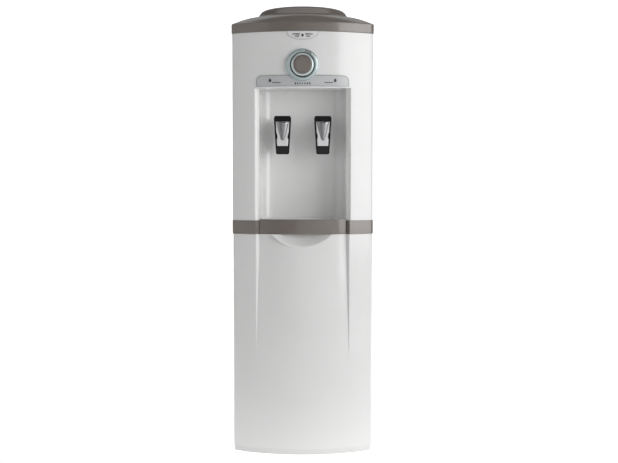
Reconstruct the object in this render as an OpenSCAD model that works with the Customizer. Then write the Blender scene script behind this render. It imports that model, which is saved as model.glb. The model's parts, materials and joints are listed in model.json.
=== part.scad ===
// Floor-standing water dispenser for a 20 litre bottle, with two push-lever taps.
// Front faces -Y, +X to the right, +Z up, origin on the floor under the middle of the footprint.

/* [Overall] */
// Height from the floor to the rim of the bottle collar
total_h = 964; // [960:1:968]
// Depth from the knob's face to the condenser's rear wires
total_d = 320; // [314:1:330]
// Width of the upper front panel
body_w = 301; // [294:1:306]

/* [Casing] */
// Radius of the front panels' curve, seen from above
front_r = 283; // [260:1:320]
// Radius of the rounding between the curved front and the sides
corner_r = 10; // [7:0.5:14]
// Wall thickness of the moulded panels
wall = 2.5; // [2:0.1:3]
// Thickness of the steel sheets
sheet = 1; // [0.8:0.1:1.2]
// Distance from the front of the upper panel back to the knob's face
knob_reach = 13.5; // [12:0.5:16]
// Depth of the rear space that the condenser takes
condenser_gap = 20; // [18:0.5:24]

/* [Heights] */
// Height of the rubber feet
foot_h = 6; // [4:0.5:8]
// Height of the base pan's rim
plinth_h = 11; // [10:0.5:13]
// Height of the middle band's lower edge
band_z = 477; // [470:1:482]
// Height of the middle band itself
band_h = 29; // [27:0.5:31]
// Height of the top cover's lower edge
cover_z = 903; // [900:1:906]
// Height of the top cover's skirt
skirt_h = 20; // [18:0.5:22]

/* [Tap niche] */
// Width of the niche
niche_w = 203; // [199:1:206]
// Height of the niche above the band
niche_h = 280.5; // [276:0.5:284]
// Distance from the niche's back wall to the front of the upper panel
niche_d = 106.5; // [104:0.5:108]
// Radius of the niche's rear corners, seen from above
niche_r = 35; // [28:1:38]
// Distance that each side wall of the niche flares outward at its mouth
flare_w = 9.5; // [6:0.5:10]
// Depth of the flare
flare_d = 12; // [8:0.5:16]

/* [Channel and drip tray] */
// Width of the channel at its mouth
channel_w = 200; // [196:1:202]
// Depth of the channel at the band
channel_d = 12; // [10:0.5:14]
// Sideways run of each slanted channel wall over the full depth
channel_slant = 7.4; // [6:0.2:9]
// Height at which the channel fades into the lower panel
channel_foot = 211; // [180:1:260]
// Width of the finger scoop under the tray
scoop_w = 101; // [90:1:110]
// Height of the finger scoop
scoop_h = 26; // [22:0.5:30]
// Depth of the finger scoop under the tray front
scoop_d = 16; // [12:0.5:18]

/* [Taps] */
// Distance between the two taps
tap_pitch = 86; // [82:1:90]
// Height of the lower end of each lever
lever_z = 647; // [640:1:652]
// Height of each lever
lever_h = 81.5; // [78:0.5:84]
// Width of each lever at its shoulder
lever_top_w = 37; // [35:0.5:38]
// Width of each lever at its lower end
lever_foot_w = 27.7; // [26:0.1:30]

/* [Dial] */
// Height of the dial's centre
dial_z = 833; // [831:0.5:835]
// Radius of the bezel ring
bezel_r = 33.5; // [32:0.5:35]
// Radius of the knob
knob_r = 23.8; // [22:0.1:24]

/* [Bottle seat] */
// Outer radius of the collar at its foot
collar_r = 108; // [106:1:110]
// Radius of the well inside the collar
well_r = 76; // [72:0.5:77]
// Radius of the guide for the bottle's neck
neck_r = 29; // [28:0.1:30]

/* [Cold tank] */
// Outer radius of the tank
tank_r = 60; // [56:0.5:62]
// Height of the tank
tank_h = 222; // [200:1:224]

/* [Hidden] */

$fn = 48;
arc_fn = 240;
eps = 0.01;
run_gap = 0.05;

white = [0.93, 0.93, 0.92];
taupe = [0.5, 0.47, 0.44];
black = [0.09, 0.09, 0.1];
silver = [0.78, 0.79, 0.8];
teal_silver = [0.68, 0.78, 0.78];
steel = [0.72, 0.73, 0.74];
copper = [0.72, 0.45, 0.3];
foam = [0.95, 0.95, 0.9];
rubber = [0.14, 0.14, 0.15];

// Main planes
front_y = -total_d / 2 + knob_reach;
back_y = total_d / 2 - condenser_gap;
seam_y = front_y + 61.5;
arc_y = front_y + front_r;
plinth_z = foot_h + plinth_h;
band_top = band_z + band_h;
cover_grow = 1.5;
band_grow = 0.7;
lower_grow = -1;
pan_grow = -2.5;
wide = 2 * body_w;

// Niche, channel and scoop
niche_top = band_top + niche_h;
niche_y = front_y + niche_d;
flare_y = arc_y + wall - sqrt(pow(front_r, 2) - pow(niche_w / 2, 2));
channel_step_y = arc_y - sqrt(pow(front_r, 2) - pow(channel_w / 2, 2));
channel_in_w = channel_w - 2 * channel_slant;
channel_in_y = arc_y + channel_d - sqrt(pow(front_r, 2) - pow(channel_in_w / 2, 2));
channel_tilt = atan(channel_d / (band_z - channel_foot));

// The scoop is part of a sphere through its lowest point, its two upper ends and its deepest point.
scoop_low_d = channel_d * (band_z - scoop_h - channel_foot) / (band_z - channel_foot);
scoop_face = front_y - lower_grow;
scoop_low = scoop_face + scoop_low_d;
scoop_end = scoop_face + channel_d + front_r - sqrt(pow(front_r, 2) - pow(scoop_w / 2, 2));
scoop_deep = scoop_face + channel_d + scoop_d;
scoop_cy = (pow(scoop_deep, 2) - pow(scoop_end, 2) - pow(scoop_w / 2, 2))
  / (2 * (scoop_deep - scoop_end));
scoop_cz = band_z + (pow(scoop_deep - scoop_cy, 2) - pow(scoop_low - scoop_cy, 2) - pow(scoop_h, 2))
  / (2 * scoop_h);
scoop_r = sqrt(pow(scoop_deep - scoop_cy, 2) + pow(scoop_cz - band_z, 2));

// Drip tray
tray_z = band_z + sheet + 1.3;
tray_top = band_top - 3;
tray_w = 172;
tray_back = niche_y - 20;
tray_wall = 2;
lip_z = band_top + 2.7;
lip_y = front_y - band_grow + channel_d;
lip_t = 3;
lip_w = channel_in_w - 1.4;
floor_t = 2.5;
grille_t = 2.3;

// Taps
tap_left = -tap_pitch / 2;
tap_right = tap_pitch / 2;
lever_y = front_y + 38;
lever_t = 9;
pivot_y = lever_y + 18;
pivot_z = lever_z + 65;
barrel_y = pivot_y + 20;
barrel_r = 11;
barrel_z = pivot_z - 34;
barrel_top = pivot_z + 15;
bore_r = 7;
inlet_z = pivot_z - 14;
stem_r = 8;
plunger_seat = pivot_z - 28;
tail_t = 3.6;
lever_shoulder = 0.94;

// Dial
knob_face = -total_d / 2;
bezel_face = front_y - 6;
dial_hole_r = 26;

// Bottle seat and cold tank
tank_y = back_y - 82;
tank_z = 638;
tank_top = tank_z + tank_h;
collar_foot_z = total_h - 20;
// Steps inward and upward from the collar's foot to its rim.
collar_steps = [[0, 0], [0, 0.6], [5, 2.5], [8.5, 6.5], [12, 11.5], [15.5, 15.5], [20, 18.3],
  [25, 19.6], [29, 20]];
roof_inset = 18;
roof_z = cover_z + 32;
seat_z = total_h - 15;
neck_z = 897;
neck_top = 925;
insulation_r = 80;
insulation_in_r = 68;
insulation_z = 613;
insulation_floor = 15;
ambient_z = 840;
bulb_z = 848;
bulb_x = 12;
outlet_y = tank_y - 28;
coil_r = 3;
coil_z = 650;
shelf_z = insulation_z - sheet;
hose_r = 6;
hose_y = niche_y + 22;
stem_end = niche_y + 14;

// Cooling parts
comp_y = tank_y;
comp_z = 27;
comp_r = 60;
comp_top = 165;
pipe_r = 4;
coil_ring_r = tank_r + pipe_r + 0.6;
pipe_x = 35;
stub_top = comp_top + 7;
wire_r = 0.9;
tube_r = 2.4;
rear_wire_y = total_d / 2 - wire_r;
tube_y = rear_wire_y - tube_r - wire_r - eps;
front_wire_y = tube_y - tube_r - wire_r - eps;
run_w = 200;
run_pitch = 44;
run_count = 11;
run_z = 262;
run_top = run_z + run_pitch * (run_count - 1);
drier_x = -134;
drier_y = back_y + 11;
drier_z = 580;
capillary_z = drier_z - 20;
discharge_z = 235;
pan_floor = foot_h + 3;
socket_x = 94;
socket_w = 34;
socket_z = 196;
socket_h = 24;

// Places that repeat
foot_places = [for (x = [-112, 112], y = [-84, 112]) [x, y]];
bolt_places = [for (x = [-62, 62], y = [comp_y - 45, comp_y + 45]) [x, y]];
screw_places = [for (x = [-143, 143], z = [60, 320, 560, 870]) [x, z]];
standoff_places = [for (x = [-91, 91], z = [run_z + 22, run_top - 22]) [x, z]];

// Helpers: boxes from corner to corner, cylinders along X and Y, and bent pipes.
module block(x0, x1, y0, y1, z0, z1) {
  translate([x0, y0, z0]) cube([x1 - x0, y1 - y0, z1 - z0]);
}

module wide_block(w, y0, y1, z0, z1) {
  block(-w / 2, w / 2, y0, y1, z0, z1);
}

module y_rod(x, z, y0, y1, r, r_end = undef) {
  translate([x, y0, z]) rotate([-90, 0, 0])
    cylinder(r1 = r, r2 = is_undef(r_end) ? r : r_end, h = y1 - y0);
}

module x_rod(y, z, x0, x1, r) {
  translate([x0, y, z]) rotate([0, 90, 0]) cylinder(r = r, h = x1 - x0);
}

module z_rod(x, y, z0, z1, r, r_end = undef) {
  translate([x, y, z0]) cylinder(r1 = r, r2 = is_undef(r_end) ? r : r_end, h = z1 - z0);
}

// One straight stretch of pipe between two points.
module stretch(a, b, r) {
  d = b - a;
  translate(a) rotate([0, acos(d.z / norm(d)), atan2(d.y, d.x)])
    cylinder(r = r, h = norm(d), $fn = 24);
}

module pipe(points, r) {
  for (i = [1 : len(points) - 1]) stretch(points[i - 1], points[i], r);
  for (i = [1 : len(points) - 2]) translate(points[i]) sphere(r = 1.08 * r, $fn = 24);
}

// Outline of the casing seen from above, grown outward by g, with its curved front and rounded corners.
module outline(g, back) {
  hw = body_w / 2 + g;
  r_front = front_r + g;
  r = max(corner_r + g, 3);
  fx = hw - r;
  fy = arc_y - sqrt(pow(r_front - r, 2) - fx * fx);
  k = r_front / (r_front - r);
  tx = fx * k;
  ty = arc_y + (fy - arc_y) * k;
  difference() {
    intersection() {
      translate([0, arc_y]) circle(r = r_front, $fn = arc_fn);
      translate([-hw, arc_y - r_front - 1]) square([2 * hw, back - arc_y + r_front + 1]);
    }
    for (s = [-1, 1])
      polygon([[s * tx, ty], [s * hw, fy], [s * (hw + 5), fy], [s * (hw + 5), ty - 10],
        [s * tx, ty - 10]]);
  }
  for (s = [-1, 1]) translate([s * fx, fy]) circle(r = r);
}

module casing(g, z0, z1, back = back_y) {
  translate([0, 0, z0]) linear_extrude(z1 - z0) outline(g, back);
}

// Everything in front of the seam between front panels and side sheets.
module front_zone() {
  wide_block(wide, -wide, seam_y, 0, total_h);
}

// The niche's hollow behind its mouth seen from above, grown by g.
module niche_shape(g) {
  w = niche_w / 2 - flare_w + g;
  r = niche_r + g;
  back = niche_y + g;
  translate([-w, -wide]) square([2 * w, back - r + wide]);
  translate([r - w, -wide]) square([2 * (w - r), back + wide]);
  for (s = [-1, 1]) translate([s * (w - r), back - r]) circle(r = r);
}

// The niche's flared mouth, whose slants run a little past the side walls.
module mouth_shape(g) {
  mouth = niche_w / 2 + g;
  end = mouth - 1.2 * flare_w;
  end_y = flare_y + 1.2 * flare_d;
  polygon([[-mouth, -wide], [-mouth, flare_y], [-end, end_y], [end, end_y], [mouth, flare_y],
    [mouth, -wide]]);
}

// The channel's mouth seen from above: slanted walls, then straight ones.
module channel_shape(g) {
  out = channel_w / 2 + g;
  in = channel_in_w / 2 + g;
  polygon([[-out, -wide], [-out, channel_step_y], [-in, channel_in_y], [-in, seam_y + 1],
    [in, seam_y + 1], [in, channel_in_y], [out, channel_step_y], [out, -wide]]);
}

// The tapering channel in the lower panel: its floor is the front curve leaned back.
module channel_cut(g) {
  difference() {
    translate([0, 0, channel_foot - 60]) linear_extrude(band_z - channel_foot + 61)
      channel_shape(g);
    translate([0, arc_y + g, channel_foot]) rotate([-channel_tilt, 0, 0])
      translate([0, 0, -200]) cylinder(r = front_r + lower_grow, h = 600, $fn = arc_fn);
  }
}

module top_cover() {
  color(taupe)
  difference() {
    union() {
      hull() {
        casing(cover_grow, cover_z, cover_z + skirt_h, back_y + cover_grow);
        casing(-roof_inset, roof_z, roof_z + 1, back_y - roof_inset);
        z_rod(0, 0, collar_foot_z - 0.4, collar_foot_z + 0.6, collar_r);
      }
      rotate_extrude() polygon(concat([[0, collar_foot_z]],
        [for (p = collar_steps) [collar_r - p.x, collar_foot_z + p.y]], [[0, total_h]]));
    }
    hull() {
      casing(cover_grow - wall, cover_z - 1, cover_z + skirt_h - 1, back_y + cover_grow - wall);
      casing(-roof_inset - 2, roof_z - 3, roof_z - 2, back_y - roof_inset - 2);
      z_rod(0, 0, collar_foot_z - 4, collar_foot_z - 3, collar_r - 2);
    }
    z_rod(0, 0, seat_z, total_h + 1, well_r);
    z_rod(0, 0, cover_z, total_h, well_r - 6);
  }
}

module bottle_funnel() {
  color("white")
  difference() {
    rotate_extrude() polygon([[0, neck_z - 31], [33.5, neck_z - 31], [33.5, neck_top - 4],
      [71 - 4, seat_z - 2], [well_r - 7, seat_z], [well_r - 0.5, seat_z],
      [well_r - 0.5, seat_z + 3], [well_r - 7, seat_z + 3], [neck_r + 5, neck_top],
      [neck_r, neck_top], [neck_r, neck_z], [neck_r + 2, neck_z], [neck_r + 2, neck_z - 28],
      [9, neck_z - 28], [5.5, neck_z - 6], [3, neck_z - 2], [0, neck_z - 2]]);
    for (a = [0 : 60 : 300]) rotate([0, 0, a]) z_rod(20, 0, neck_z - 40, neck_z - 20, 4);
  }
}

module upper_front_panel() {
  color(white)
  difference() {
    intersection() {
      difference() {
        casing(0, band_top, cover_z, 200);
        casing(-wall, band_top - 1, cover_z + 1, 200);
      }
      front_zone();
    }
    wide_block(niche_w, -wide, seam_y, band_top - 1, niche_top);
    y_rod(0, dial_z, -wide, seam_y, 7);
  }
}

module niche_block(z0, z1) {
  translate([0, 0, z0]) linear_extrude(z1 - z0) children();
}

module niche_liner() {
  color([0.9, 0.9, 0.9])
  difference() {
    intersection() {
      union() {
        niche_block(band_top - floor_t, niche_top + floor_t) niche_shape(wall);
        niche_block(band_top - floor_t, niche_top + floor_t) mouth_shape(wall);
      }
      casing(-wall, band_top - floor_t, niche_top + floor_t, 200);
    }
    niche_block(band_top, niche_top) niche_shape(0);
    niche_block(band_top, niche_top) mouth_shape(0);
    wide_block(channel_in_w + 1, -wide, tray_back + 2, band_top - floor_t - 1, band_top + 1);
    wide_block(wide, -wide, seam_y, band_top - floor_t - 1, band_top - eps);
    for (x = [tap_left, tap_right]) y_rod(x, inlet_z, niche_y - 1, niche_y + wall + 1, stem_r + 0.2);
  }
}

// A raised plate on the upper panel's curved face, cut to the outline given as its child.
module face_plate(thick) {
  intersection() {
    difference() {
      casing(thick, niche_top, cover_z, 200);
      casing(0, niche_top - 1, cover_z + 1, 200);
    }
    translate([0, front_y + 60, 0]) rotate([90, 0, 0]) linear_extrude(80) children();
  }
}

module badge_plate() {
  color(silver)
  face_plate(1) intersection() {
    translate([-34, cover_z - 17.5]) square([68, 17.5]);
    translate([0, cover_z + 22]) circle(r = 39.5);
  }
}

module strip_shape(g) {
  w = 98 + g;
  r = 12 + g;
  top = niche_top + 26 + g;
  translate([-w, niche_top + 3 - g]) square([2 * w, top - r - niche_top - 3 + g]);
  translate([r - w, niche_top + 3 - g]) square([2 * (w - r), top - niche_top - 3 + g]);
  for (s = [-1, 1]) translate([s * (w - r), top - r]) circle(r = r);
}

module control_strip() {
  color([0.8, 0.81, 0.82])
  difference() {
    face_plate(1.2) strip_shape(0);
    y_rod(0, dial_z, -wide, seam_y, bezel_r);
  }
}

// Drop signs, dashes and scale ticks that stand on the control strip.
module strip_marks() {
  color(black)
  intersection() {
    difference() {
      casing(1.5, niche_top, cover_z, 200);
      casing(1.2, niche_top - 1, cover_z + 1, 200);
    }
    translate([0, front_y + 60, 0]) rotate([90, 0, 0]) linear_extrude(80) {
      for (s = [-1, 1]) {
        translate([s * 68.5, niche_top + 14]) circle(r = 3);
        translate([s * 68.5, niche_top + 17]) rotate(45) square(3, center = true);
        translate([s * 55, niche_top + 10]) square([18, 1.6], center = true);
      }
      for (i = [-3 : 3]) translate([i * 5, niche_top + 7.8])
        square([1.6 + 0.4 * abs(i), 4], center = true);
    }
  }
}

module dial_bezel() {
  color(teal_silver)
  difference() {
    union() {
      y_rod(0, dial_z, bezel_face + 1.5, front_y + 5, bezel_r);
      y_rod(0, dial_z, bezel_face, bezel_face + 1.5, bezel_r - 2, bezel_r);
    }
    casing(0, dial_z - 50, dial_z + 50, 200);
    y_rod(0, dial_z, -wide, seam_y, dial_hole_r);
    y_rod(0, dial_z, bezel_face - eps, bezel_face + 1.6, dial_hole_r + 1.6, dial_hole_r);
  }
}

module dial_mark() {
  color(taupe)
  intersection() {
    difference() {
      y_rod(0, dial_z, bezel_face - 0.5, bezel_face, bezel_r - 2.5);
      y_rod(0, dial_z, bezel_face - 1, bezel_face + 1, dial_hole_r + 2);
    }
    translate([0, bezel_face, dial_z]) rotate([90, 0, 0]) linear_extrude(2, center = true)
      polygon([[0, 0], 50 * [sin(10), cos(10)], 50 * [sin(38), cos(38)]]);
  }
}

module dial_base() {
  color(black)
  difference() {
    y_rod(0, dial_z, front_y - 1.5, front_y + 5, dial_hole_r);
    casing(0, dial_z - 50, dial_z + 50, 200);
    y_rod(0, dial_z, -wide, seam_y, 5.3);
  }
}

module thermostat() {
  color(steel)
  difference() {
    union() {
      block(-18, 18, front_y + 6, front_y + 34, dial_z - 20, dial_z + 20);
      y_rod(0, dial_z, front_y - 2, front_y + 6, 5.1);
    }
    y_rod(0, dial_z, front_y - 3, front_y + 14, 3 + run_gap);
  }
}

module thermostat_bulb() {
  color(copper)
  pipe([[bulb_x, front_y + 34, bulb_z], [bulb_x, niche_y, bulb_z],
    [bulb_x, tank_y - tank_r + 0.9, bulb_z]], 1.5);
}

module thermostat_knob() {
  color([0.85, 0.87, 0.88])
  difference() {
    union() {
      y_rod(0, dial_z, front_y - 11, front_y - 2.5, knob_r);
      y_rod(0, dial_z, knob_face + 0.5, front_y - 11, knob_r - 3, knob_r);
      y_rod(0, dial_z, front_y - 3, front_y + 12, 3);
    }
    y_rod(0, dial_z, knob_face - 1, knob_face + 1.5, 18);
  }
}

module knob_cap() {
  color(taupe)
  y_rod(0, dial_z, knob_face, knob_face + 1.5, 17, 17.8);
}

// Lever outline seen from the front: widest at the shoulder, then tapering to the foot.
module lever_shape(inset) {
  top = lever_h - inset;
  foot = inset;
  shoulder = lever_h * lever_shoulder;
  wt = lever_top_w / 2 - inset;
  wf = lever_foot_w / 2 - inset;
  polygon([[-wf + 2, foot], [wf - 2, foot], [wf, foot + 2], [wt, shoulder - inset],
    [wt - 2.5, top], [-wt + 2.5, top], [-wt, shoulder - inset], [-wf, foot + 2]]);
}

module lever_slab(inset, y0, y1) {
  translate([0, y1, lever_z]) rotate([90, 0, 0]) linear_extrude(y1 - y0) lever_shape(inset);
}

module tap_lever(x) {
  color(black)
  translate([x, 0, 0]) difference() {
    union() {
      lever_slab(0, lever_y, lever_y + lever_t);
      block(-3, 3, lever_y + lever_t - 1, pivot_y, pivot_z - 4, pivot_z + 4);
      x_rod(pivot_y, pivot_z, -3, 3, 5);
      block(-3, 3, pivot_y, barrel_y - 2.6, pivot_z - tail_t / 2, pivot_z + tail_t / 2);
    }
    x_rod(pivot_y, pivot_z, -4, 4, 2 + run_gap);
    intersection() {
      lever_slab(3.2, lever_y - 1, lever_y + 2);
      wide_block(50, lever_y - 2, lever_y + 3, lever_z + 17.5, lever_z + 69.5);
    }
    intersection() {
      lever_slab(2, lever_y - 1, lever_y + 1.2);
      wide_block(50, lever_y - 2, lever_y + 3, lever_z, lever_z + 15);
    }
  }
}

module lever_insert(x) {
  color(silver)
  translate([x, 0, 0]) intersection() {
    lever_slab(3.2, lever_y - 4, lever_y + 2);
    union() {
      wide_block(50, lever_y, lever_y + 2, lever_z + 17.5, lever_z + 69.5);
      z_rod(0, lever_y + 14.4, lever_z + 29, lever_z + 69.5, 14.8, 18.2);
    }
  }
}

module lever_pad(x) {
  color(rubber)
  translate([x, 0, 0]) intersection() {
    lever_slab(2, lever_y - 2, lever_y + 1.2);
    union() {
      wide_block(50, lever_y - 0.2, lever_y + 1.2, lever_z, lever_z + 15);
      for (i = [0 : 5]) wide_block(50, lever_y - 1.2, lever_y, lever_z + 2.6 + 2.1 * i,
        lever_z + 3.6 + 2.1 * i);
    }
  }
}

module tap_body(x) {
  color([0.86, 0.86, 0.86])
  translate([x, 0, 0]) difference() {
    union() {
      z_rod(0, barrel_y, barrel_z, barrel_top - 3, barrel_r);
      z_rod(0, barrel_y, barrel_z - 23, barrel_z, 6.5, 8.5);
      y_rod(0, inlet_z, barrel_y, niche_y, 8.5);
      y_rod(0, inlet_z, niche_y - 4, niche_y, 14);
      y_rod(0, inlet_z, niche_y, stem_end, stem_r);
      for (s = [-1, 1]) {
        x_rod(pivot_y, pivot_z, s > 0 ? 3.5 : -9.5, s > 0 ? 9.5 : -3.5, 6.5);
        block(s > 0 ? 3.5 : -9.5, s > 0 ? 9.5 : -3.5, pivot_y, barrel_y - 5, pivot_z - 6.5,
          pivot_z + 6.5);
      }
    }
    z_rod(0, barrel_y, plunger_seat, barrel_top, bore_r);
    z_rod(0, barrel_y, barrel_z - 24, plunger_seat + 1, 4);
    y_rod(0, inlet_z, barrel_y, stem_end + 1, 4.5);
    block(-3.5, 3.5, pivot_y - 10, barrel_y, pivot_z - 6.6, pivot_z + 12.1);
    x_rod(pivot_y, pivot_z, -12, 12, 2);
  }
}

module tap_plunger(x) {
  color("white")
  translate([x, 0, 0]) {
    z_rod(0, barrel_y, plunger_seat, plunger_seat + 6, 6, bore_r - run_gap);
    z_rod(0, barrel_y, plunger_seat + 6, plunger_seat + 8, bore_r - run_gap);
    z_rod(0, barrel_y, plunger_seat + 8, pivot_z + 2.2, 2);
    z_rod(0, barrel_y, pivot_z + 2.2, pivot_z + 4.2, bore_r - run_gap);
  }
}

// Conical return spring drawn as its stacked turns.
module tap_spring(x) {
  color(steel)
  for (i = [0 : 3]) translate([x, barrel_y, pivot_z + 4.9 + 1.9 * i])
    rotate_extrude() translate([5 - 0.3 * i, 0]) circle(r = 0.6, $fn = 16);
}

module tap_caps() {
  color([0.86, 0.86, 0.86])
  for (x = [tap_left, tap_right]) {
    z_rod(x, barrel_y, barrel_top - 3, barrel_top - 1, barrel_r, barrel_r - 1.5);
  }
}

module tap_pins() {
  color(steel)
  for (x = [tap_left, tap_right]) x_rod(pivot_y, pivot_z, x - 9.5, x + 9.5, 2);
}

module tap_washers() {
  color(rubber)
  for (x = [tap_left, tap_right]) difference() {
    y_rod(x, inlet_z, niche_y + wall, niche_y + wall + 1.5, 13);
    y_rod(x, inlet_z, niche_y, niche_y + 6, stem_r);
  }
}

module tap_nuts() {
  color("white")
  for (x = [tap_left, tap_right]) difference() {
    translate([x, niche_y + wall + 1.5, inlet_z]) rotate([-90, 0, 0])
      cylinder(r = 14, h = 6, $fn = 6);
    y_rod(x, inlet_z, niche_y, niche_y + 12, stem_r);
  }
}

module mid_band() {
  color(taupe)
  intersection() {
    difference() {
      casing(band_grow, band_z, band_top, 200);
      difference() {
        casing(band_grow - wall, band_z - 1, band_top + 1, 200);
        translate([0, 0, band_z - 2]) linear_extrude(band_h + 4) channel_shape(wall);
      }
      translate([0, 0, band_z - 2]) linear_extrude(band_h + 4) channel_shape(0);
    }
    front_zone();
  }
}

module tray_shelf() {
  in = channel_in_w / 2 - 0.2;
  color(steel) {
    block(-in, in, front_y + 35, niche_y - 2, band_z, band_z + sheet);
    for (s = [-1, 1])
      side_block(s, in - sheet, in, seam_y + eps, niche_y - 2, band_z + sheet, band_top - floor_t);
    wide_block(2 * (in - sheet), niche_y - 2 - sheet, niche_y - 2, band_z + sheet,
      band_top - floor_t);
  }
}

// A disc whose front edge follows the tray's curved lip, moved back by an inset.
module tray_arc(inset, z0, z1) {
  translate([0, lip_y + front_r, z0]) cylinder(r = front_r - inset, h = z1 - z0, $fn = arc_fn);
}

module drip_tray() {
  half = tray_w / 2;
  color(taupe) {
    intersection() {
      difference() {
        tray_arc(0, band_z + 0.6, lip_z);
        tray_arc(lip_t, band_z, lip_z + 1);
      }
      wide_block(lip_w, -wide, seam_y, band_z, total_h);
    }
    difference() {
      block(-half, half, lip_y, tray_back, tray_z, tray_top);
      block(tray_wall - half, half - tray_wall, lip_y - 1, tray_back - tray_wall, tray_z + tray_wall,
        tray_top + 1);
      difference() {
        block(-half - 1, half + 1, lip_y - 1, seam_y, tray_z - 1, tray_top + 1);
        tray_arc(lip_t, band_z, lip_z + 1);
      }
    }
  }
}

module drip_grille() {
  half = tray_w / 2 - 0.4;
  color([0.56, 0.53, 0.5])
  difference() {
    intersection() {
      block(-half, half, lip_y, tray_back, tray_top, tray_top + grille_t);
      tray_arc(lip_t + 0.4, band_z, total_h);
    }
    for (i = [-8 : 8])
      block(10 * i - 2.5, 10 * i + 2.5, lip_y + 18, tray_back - 6, tray_top - 1, tray_top + 4);
  }
}

module lower_front_panel() {
  color(white)
  difference() {
    intersection() {
      union() {
        difference() {
          casing(lower_grow, plinth_z, band_z, 200);
          channel_cut(0);
          difference() {
            casing(lower_grow - wall, plinth_z - 1, band_z + 1, 200);
            channel_cut(wall);
          }
        }
        intersection() {
          translate([0, scoop_cy, scoop_cz]) sphere(r = scoop_r + wall, $fn = 160);
          wide_block(150, scoop_low, seam_y, band_z - 60, band_z);
        }
      }
      front_zone();
    }
    translate([0, scoop_cy, scoop_cz]) sphere(r = scoop_r, $fn = 160);
  }
}

module base_pan() {
  color([0.8, 0.8, 0.79])
  difference() {
    casing(pan_grow, foot_h, plinth_z, back_y - 1.5);
    casing(pan_grow - 3.5, pan_floor, plinth_z + 1, back_y - 5);
    for (p = foot_places) z_rod(p.x, p.y, 0, 30, 4);
    for (p = bolt_places) z_rod(p.x, p.y, 0, 30, 3);
  }
}

module rubber_feet() {
  color(rubber)
  for (p = foot_places) {
    z_rod(p.x, p.y, 0, foot_h, 13, 14);
    z_rod(p.x, p.y, foot_h, pan_floor + 2, 4);
  }
}

// Painted steel side sheet with a folded edge at the front and at the rear.
module side_panel(s) {
  out = body_w / 2 + lower_grow;
  color(white)
  difference() {
    union() {
      side_block(s, out - sheet, out, seam_y, back_y - sheet, plinth_z, cover_z);
      side_block(s, out - 12, out, back_y - 2 * sheet, back_y - sheet, plinth_z, cover_z);
      side_block(s, out - 9, out, seam_y + sheet, seam_y + 2 * sheet, plinth_z, cover_z);
    }
    for (p = screw_places) y_rod(p.x, p.y, back_y - 10, back_y + 1, 2.2);
  }
}

module side_block(s, x0, x1, y0, y1, z0, z1) {
  block(s > 0 ? x0 : -x1, s > 0 ? x1 : -x0, y0, y1, z0, z1);
}

module rear_panel() {
  out = body_w / 2 + lower_grow;
  color(steel)
  difference() {
    block(-out, out, back_y - sheet, back_y, plinth_z, cover_z);
    for (x = [-90, -30, 30, 90], i = [0 : 7])
      block(x - 22, x + 22, back_y - 2, back_y + 1, 60 + 16 * i, 66 + 16 * i);
    for (x = [-60, 60], i = [0 : 4])
      block(x - 30, x + 30, back_y - 2, back_y + 1, 800 + 14 * i, 805 + 14 * i);
    for (p = screw_places) y_rod(p.x, p.y, back_y - 2, back_y + 1, 2.2);
    y_rod(pipe_x, discharge_z, back_y - 2, back_y + 1, pipe_r + 1);
    y_rod(drier_x, capillary_z, back_y - 2, back_y + 1, 3);
    socket_block(0, back_y - 2, back_y + 1);
  }
}

module rear_screws() {
  color(steel)
  for (p = screw_places) {
    y_rod(p.x, p.y, back_y - 8, back_y, 2);
    y_rod(p.x, p.y, back_y, back_y + 1.8, 3.8, 3);
  }
}

module socket_block(g, y0, y1) {
  block(socket_x - g, socket_x + socket_w + g, y0, y1, socket_z - g, socket_z + socket_h + g);
}

module power_inlet() {
  color(black)
  difference() {
    union() {
      socket_block(0, back_y - 18, back_y);
      socket_block(4, back_y, back_y + 2.5);
    }
    socket_block(-4, back_y - 14, back_y + 3);
  }
  color(steel)
  for (i = [-1 : 1]) block(socket_x + socket_w / 2 + 6 * i - 1, socket_x + socket_w / 2 + 6 * i + 1,
    back_y - 14 - eps, back_y - 2, socket_z + 9, socket_z + 15);
}

module cold_tank() {
  color(steel)
  difference() {
    union() {
      z_rod(0, tank_y, tank_z, tank_top, tank_r);
      z_rod(tap_right, outlet_y, shelf_z - 12, tank_z, hose_r);
      y_rod(tap_left, ambient_z, tank_y - 70, tank_y - 30, hose_r);
    }
    z_rod(0, tank_y, tank_z + 1.5, tank_top + 1, tank_r - 1.5);
    z_rod(tap_right, outlet_y, shelf_z - 13, tank_z + 2, hose_r - 1.5);
    y_rod(tap_left, ambient_z, tank_y - 71, tank_y - 20, hose_r - 1.5);
  }
}

// Covered trough that leads water from the bottle funnel back to the tank's open top.
module feed_chamber() {
  color("white")
  difference() {
    trough(0, tank_top, neck_z - 4);
    trough(2, tank_top + 2, neck_z - 6);
    z_rod(0, tank_y, tank_top - 1, tank_top + 3, 24);
    z_rod(0, 0, neck_z - 7, neck_z, 34.5);
  }
}

module trough(inset, z0, z1) {
  front_r = 48 - inset;
  z_rod(0, 0, z0, z1, front_r);
  z_rod(0, tank_y, z0, z1, tank_r - inset);
  wide_block(2 * front_r, 0, tank_y, z0, z1);
}

module evaporator_coil() {
  color(copper)
  for (i = [0 : 9]) translate([0, tank_y, coil_z + 16 * i])
    rotate_extrude() translate([coil_ring_r, 0]) circle(r = coil_r, $fn = 20);
}

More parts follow.
